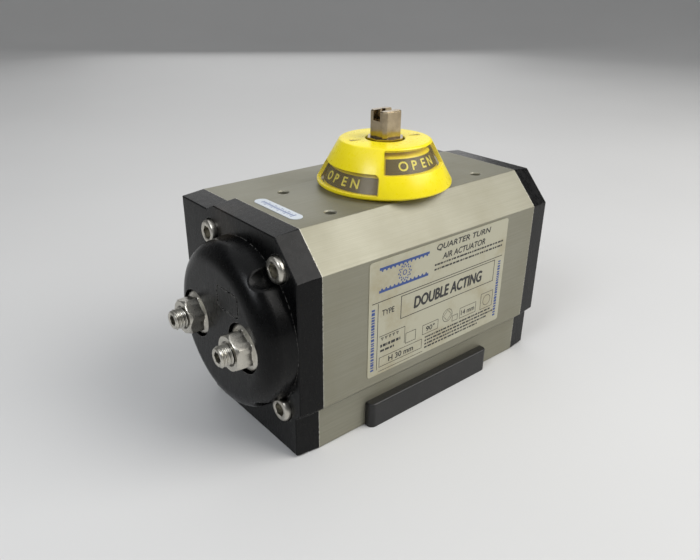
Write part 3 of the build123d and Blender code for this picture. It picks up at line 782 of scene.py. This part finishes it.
class Print:
    """Ink on the near face; u runs right and v runs down from the plate's upper left corner."""

    def __init__(self):
        low, high = corners("side_label")
        self.left = low.x
        self.top = high.z
        self.face = low.y
        self.shape = Shape()

    def bar(self, u0, v0, u1, v1):
        """Filled rectangle."""
        self.shape.block((self.left + u0, self.face - INK_HEIGHT, self.top - v1),
                         (self.left + u1, self.face + 0.01, self.top - v0))

    def frame(self, u0, v0, u1, v1, line=0.22):
        """Rectangle drawn with a line."""
        self.bar(u0, v0, u1, v0 + line)
        self.bar(u0, v1 - line, u1, v1)
        self.bar(u0, v0 + line, u0 + line, v1 - line)
        self.bar(u1 - line, v0 + line, u1, v1 - line)

    def outline(self, points, line=0.22):
        """Closed outline through (u, v) points."""
        centre_u = sum(u for u, v in points) / len(points)
        centre_v = sum(v for u, v in points) / len(points)
        loops = []
        for inner in (0, 1):
            for deep in (0.01, -INK_HEIGHT) if inner == 0 else (-INK_HEIGHT, 0.01):
                loop = []
                for u, v in points:
                    reach = math.hypot(u - centre_u, v - centre_v)
                    keep = 1 - inner * line / reach
                    loop.append((self.left + centre_u + (u - centre_u) * keep, self.face + deep,
                                 self.top - centre_v - (v - centre_v) * keep))
                loops.append(loop)
        self.shape.skin(loops, closed=True)

    def words(self, text, u, v, width, height, bold=0.0, lean=0.0, turn=0.0):
        """Text that fills a width and a height, centred on (u, v); bold thickens every stroke."""
        verts, faces = lettering(text, height, INK_HEIGHT, 0.0, lean)
        across = [vert.x for vert in verts]
        up = [vert.y for vert in verts]
        middle = Vector(((min(across) + max(across)) / 2, (min(up) + max(up)) / 2, 0))
        wide = width / (max(across) - min(across))
        tall = height / (max(up) - min(up))
        spin = Matrix.Rotation(turn, 3, "Z")
        shifts = ((-bold, 0), (bold, 0), (0, -bold), (0, bold)) if bold else ((0, 0),)
        for step, (right, high) in enumerate(shifts):
            placed = []
            for vert in verts:
                vert = vert - middle
                flat = spin @ Vector((vert.x * wide, vert.y * tall, vert.z))
                placed.append((self.left + u + flat.x + right,
                               self.face - flat.z - INK_HEIGHT / 2 + 0.005 - step * 0.0015,
                               self.top - v + flat.y + high))
            self.shape.add(placed, faces)

    def filler(self, u0, u1, v, height, upright=False):
        """A line of small print as dashes; upright runs it up the plate instead."""
        place = u0
        while place < u1:
            dash = min(random.uniform(0.5, 1.3 if upright else 2.2), u1 - place)
            if upright:
                self.bar(v - height / 2, place, v + height / 2, place + dash)
            else:
                self.bar(place, v - height / 2, place + dash, v + height / 2)
            place += dash + random.uniform(0.25, 0.6)

    def piece(self, name, material):
        """Finish the print."""
        self.shape.piece(name, material, "housing", "indicator_print")


def gear_outline(u, v, radius, tooth, count):
    """Closed (u, v) outline of a small gear."""
    points = []
    for i in range(count):
        for offset, r in ((-0.34, radius), (-0.16, radius + tooth), (0.16, radius + tooth),
                          (0.34, radius)):
            angle = 2 * math.pi * (i + offset) / count
            points.append((u + r * math.cos(angle), v + r * math.sin(angle)))
    return points


def circle_outline(u, v, radius, count=28):
    """Closed (u, v) outline of a circle."""
    turns = [2 * math.pi * i / count for i in range(count)]
    return [(u + radius * math.cos(turn), v + radius * math.sin(turn)) for turn in turns]


def plate_dark(material):
    """Frames, rules and small print of the name plate."""
    ink = Print()
    ink.words("QUARTER TURN", 50.8, 2.8, 32.2, 2.8, 0.08, 0.18)
    ink.words("AIR ACTUATOR", 51.1, 7.0, 25.6, 2.5, 0.08, 0.18)
    ink.filler(34, 76, 9.8, 0.75)
    ink.filler(34, 76, 11.8, 0.75)
    ink.bar(1.6, 16.6, 76.6, 16.9)
    ink.bar(4.5, 17.2, 4.75, 46.3)
    ink.words("TYPE", 9.8, 21.9, 6.2, 2.3, 0.05)
    ink.frame(16.4, 17.7, 72.0, 27.7, 0.3)
    ink.words("DOUBLE ACTING", 43.8, 22.9, 40.2, 4.8, 0.24, 0.12)
    ink.bar(5.7, 31.7, 19.3, 31.95)
    ink.bar(19.1, 31.95, 19.3, 39.4)
    for i in range(5):
        u = 7.2 + i * 2.0
        ink.outline([(u - 0.7, 32.6), (u + 0.7, 32.6), (u, 34.0)], 0.5)
    ink.filler(6.3, 16.9, 36.2, 1.2)
    ink.filler(6.3, 14.0, 38.4, 0.9)
    ink.frame(19.8, 35.2, 25.5, 40.0)
    ink.frame(29.3, 35.1, 38.5, 39.6)
    ink.words("90°", 33.9, 37.4, 5.0, 2.3, 0.06)
    ink.outline(circle_outline(43.9, 35.3, 3.0))
    ink.outline([(43.9, 32.8), (46.4, 35.3), (43.9, 37.8), (41.4, 35.3)])
    ink.frame(47.0, 36.6, 50.4, 39.4)
    ink.frame(51.6, 34.6, 62.0, 39.6)
    ink.words("14 mm", 56.8, 37.1, 8.4, 2.2, 0.06)
    ink.frame(65.0, 32.2, 73.0, 39.9)
    ink.outline(circle_outline(69.0, 36.05, 2.5))
    ink.frame(5.8, 41.2, 29.3, 45.6)
    ink.words("H 30 mm", 17.6, 43.4, 13.5, 2.4, 0.08)
    ink.filler(31, 72, 41.2, 0.75)
    ink.filler(31, 74, 42.8, 0.75)
    ink.filler(31, 70, 44.4, 0.75)
    ink.filler(31, 64, 46.0, 0.75)
    ink.bar(5.7, 47.3, 30.0, 47.5)
    ink.piece("plate_print_dark", material)


def plate_blue(material):
    """Plain sign of a gear between two racks, and the upright lines of small print."""
    ink = Print()
    ink.outline(gear_outline(17.7, 8.0, 2.6, 0.9, 12), 0.5)
    ink.outline(circle_outline(17.7, 8.0, 1.1), 0.35)
    for v, side in ((3.4, 1), (12.6, -1)):
        ink.bar(4.8, v - 0.5, 30.6, v + 0.5)
        for i in range(12):
            u = 6.2 + i * 2.1
            ink.outline([(u - 0.55, v + side * 0.45), (u + 0.55, v + side * 0.45),
                         (u + 0.28, v + side * 1.2), (u - 0.28, v + side * 1.2)], 0.45)
    ink.filler(19, 46, 2.2, 1.6, upright=True)
    ink.filler(19, 46, 75.2, 1.6, upright=True)
    ink.piece("plate_print_blue", material)


def sticker_print(material):
    """Row of plain bars on the small sticker."""
    low, high = corners("top_label")
    middle = (low.x + high.x) / 2
    shape = Shape()
    for i in range(STICKER_BARS):
        y = low.y + STICKER_MARGIN + i * STICKER_STEP
        reach = 0.9 if i % 3 else 1.35
        shape.block((middle - reach, y - 0.26, high.z - 0.01),
                    (middle + reach, y + 0.26, high.z + 0.02))
    shape.piece("sticker_print", material, "housing", "indicator_print")


# ---- put it together -------------------------------------------------------------------------
def dress(nodes, material):
    """Give carried-over CAD nodes their material."""
    for node in nodes:
        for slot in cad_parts[node].material_slots:
            slot.material = material


FLOOR_FLAT = 1.3            # metres
FLOOR_RISE = 0.9


def make_floor():
    """Plain pale floor that sweeps up all round, far from the object."""
    rings = [(0.0, 0.0), (0.3, 0.0), (0.7, 0.0), (FLOOR_FLAT, 0.0)]
    rings += [(FLOOR_FLAT + FLOOR_RISE * math.sin(t), FLOOR_RISE * (1 - math.cos(t)))
              for t in (math.pi / 2 * i / 12 for i in range(1, 13))]
    count = 64
    verts = [(r * math.cos(2 * math.pi * j / count), r * math.sin(2 * math.pi * j / count), z)
             for r, z in rings for j in range(count)]
    faces = []
    for i in range(len(rings) - 1):
        for j in range(count):
            k = (j + 1) % count
            faces.append((i * count + j, i * count + k, (i + 1) * count + k, (i + 1) * count + j))
    mesh = bpy.data.meshes.new("floor")
    mesh.from_pydata(verts, [], faces)
    build = bmesh.new()
    build.from_mesh(mesh)
    bmesh.ops.remove_doubles(build, verts=build.verts, dist=1e-6)
    build.to_mesh(mesh)
    build.free()
    mesh.shade_smooth()
    mesh.materials.append(look_floor())
    floor = bpy.data.objects.new("floor", mesh)
    floor.location.z = cad_box[0].z - 0.0001
    bpy.context.collection.objects.link(floor)


make_camera()
make_lights()
make_floor()

stainless = look_steel("stainless", (0.58, 0.56, 0.50), (0.27, 0.24, 0.19), 0.30)
nickel = look_steel("nickel_plated_shaft", (0.46, 0.375, 0.25), (0.19, 0.14, 0.08), 0.17, 0.6)
piston_metal = look_steel("machined_casting", (0.70, 0.71, 0.72), (0.50, 0.50, 0.50), 0.38)
yellow = look_yellow()
black_print = look_ink("black_strip", (0.012, 0.012, 0.012), (0.05, 0.05, 0.045))
yellow_ink = look_ink("yellow_letters", (0.80, 0.72, 0.10), (0.62, 0.56, 0.12))
dark_ink = look_ink("plate_ink", (0.012, 0.012, 0.014), (0.09, 0.085, 0.07))
blue_ink = look_ink("plate_blue_ink", (0.03, 0.07, 0.25), (0.10, 0.15, 0.32))
# painted shade: the dark brown-yellow of the pointers stands in for the shade on them
pointer_painted_shade = look_ink("painted_shade_pointers", (0.34, 0.24, 0.02), (0.60, 0.48, 0.03))

dress(["housing"], look_body())
dress(["left_end_cap", "right_end_cap"], look_cap())
dress(["pinion"], nickel)
dress(["circlip", "steel_washer", "indicator_screws"], stainless)
dress(["left_piston", "right_piston"], piston_metal)
dress(["left_cap_seal", "right_cap_seal", "stop_screw_seals", "pinion_upper_o_ring",
       "pinion_lower_o_ring", "left_piston_seal", "right_piston_seal", "left_rod_seal"],
      look_plastic("seal_rubber", (0.010, 0.010, 0.010), (0.022, 0.022, 0.021), 0.52, 4000))
dress(["upper_bearing", "lower_bearing", "inner_thrust_ring", "outer_thrust_ring",
       "left_wear_band", "right_wear_band", "left_rack_pad", "right_rack_pad"],
      look_plastic("acetal", (0.78, 0.77, 0.72), (0.68, 0.66, 0.60), 0.40, 2500))
dress(["side_strip"],
      look_plastic("black_trim", (0.006, 0.006, 0.0062), (0.014, 0.0135, 0.013), 0.42, 2200,
                   0.00005))
dress(["side_label"], look_foil("plate_foil", (0.46, 0.445, 0.335), (0.36, 0.31, 0.19), 0.7))
dress(["top_label"], look_foil("sticker_foil", (0.58, 0.63, 0.68), (0.48, 0.51, 0.55), 0.3))

cap_screws("left_cap_screws", -1, stainless)
cap_screws("right_cap_screws", 1, stainless)
stop_screw("stop_screw_short", stainless)
stop_screw("stop_screw_long", stainless)
lock_nuts(stainless)

indicator_cover(yellow)
indicator_panes(look_lens())
indicator_core(yellow)
printed_strips("open_strips", "open", "OPEN", OPEN_SIDES, SHUT_SIDES, black_print, yellow_ink)
printed_strips("shut_strips", "shut", "SHUT", SHUT_SIDES, OPEN_SIDES, black_print, yellow_ink)
cover_marks(pointer_painted_shade)

plate_dark(dark_ink)
plate_blue(blue_ink)
sticker_print(blue_ink)
